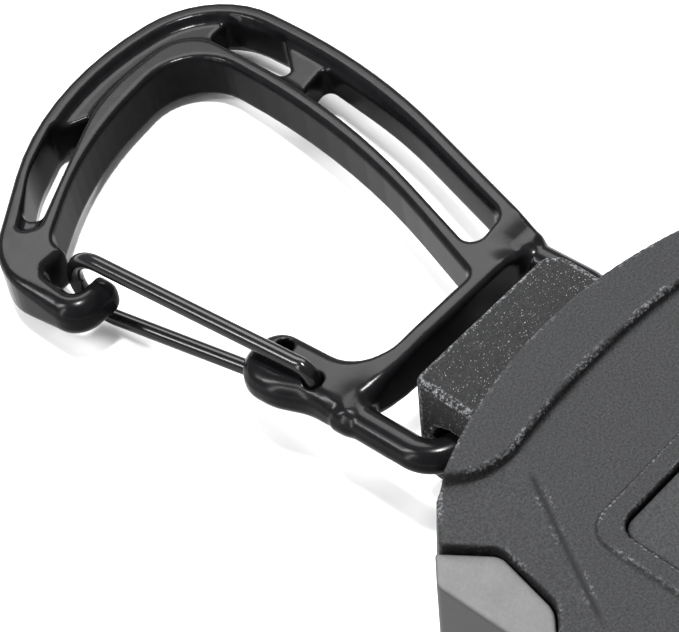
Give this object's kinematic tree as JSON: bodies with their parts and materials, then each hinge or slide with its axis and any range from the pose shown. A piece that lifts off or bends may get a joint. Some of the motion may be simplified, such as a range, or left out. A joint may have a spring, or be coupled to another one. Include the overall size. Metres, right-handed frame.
{
  "type": "retractable badge reel",
  "caption": "Retractable badge reel: a dark plastic case with a spring-wound cord spool, a wire-gate carabiner on its lug and a split ring on its cord.",
  "frame": {"origin": "spool axis at the flat back face; the reel lies on its back", "axes": "+Z out of the front face, +Y from the spool towards the carabiner, +X to the right seen from the front"},
  "size_m": [0.05, 0.1542, 0.0192],
  "materials": {
    "case_plastic": "fine spark-eroded texture, matt",
    "plate_plastic": "fine texture, matt",
    "insert_rubber": "smooth soft-touch, light grey",
    "screw_steel": "zinc plated",
    "pin_steel": "turned",
    "spring_steel": "blued strip",
    "spool_plastic": "natural acetal",
    "bushing_plastic": "satin black",
    "cord": "braided",
    "ring_steel": "bright nickel plate",
    "carabiner_coating": "satin black coating",
    "wire_coating": "gloss black coating"
  },
  "bodies": {
    "housing": {"rear_shell": "case_plastic", "front_shell": "case_plastic", "centre_plate": "plate_plastic", "corner_insert_upper_left": "insert_rubber", "corner_insert_upper_right": "insert_rubber", "corner_insert_lower_left": "insert_rubber", "corner_insert_lower_right": "insert_rubber", "case_screws": "screw_steel", "arbor": "pin_steel", "mainspring": "spring_steel", "outlet_bushing": "bushing_plastic", "rear_washer": "pin_steel", "front_washer": "pin_steel", "cord_run": "cord"},
    "spool_body": {"spool": "spool_plastic", "spring_cover": "spool_plastic", "cord_winding": "cord"},
    "cord_end": {"cord_lead": "cord", "cord_stop": "bushing_plastic"},
    "ring": {"split_ring": "ring_steel"},
    "carabiner": {"carabiner_frame": "carabiner_coating"},
    "gate": {"gate_wire": "wire_coating"}
  },
  "joints": [
    {"name": "carabiner_swing", "type": "hinge", "parent": "housing", "child": "carabiner", "pos_m": [0, 0.03185, 0.0092], "axis": [1, 0, 0], "range_deg": [-70, 82]},
    {"name": "gate_open", "type": "hinge", "parent": "carabiner", "child": "gate", "pos_m": [-0.0115, 0.04576, 0.00764], "axis": [0, -0.1115, -0.9938], "range_deg": [0, 35], "stiffness_Nm_per_rad": 0.04, "springref_deg": -28.65},
    {"name": "cord_pull", "type": "slide", "parent": "housing", "child": "cord_end", "axis": [0, -1, 0], "range_m": [0, 0.75], "stiffness_N_per_m": 0.5, "springref_m": -1.6},
    {"name": "spool_spin", "type": "hinge", "parent": "housing", "child": "spool_body", "pos_m": [0, 0, 0.0092], "axis": [0, 0, -1], "range_deg": [0, 2600]},
    {"name": "ring_swing", "type": "hinge", "parent": "cord_end", "child": "ring", "pos_m": [0, -0.0406, 0.0092], "axis": [-1, 0, 0], "range_deg": [-65, 100]}
  ],
  "couplings": [
    {"joint": "spool_spin", "follows": "cord_pull", "rad_per_m": 59.701}
  ]
}
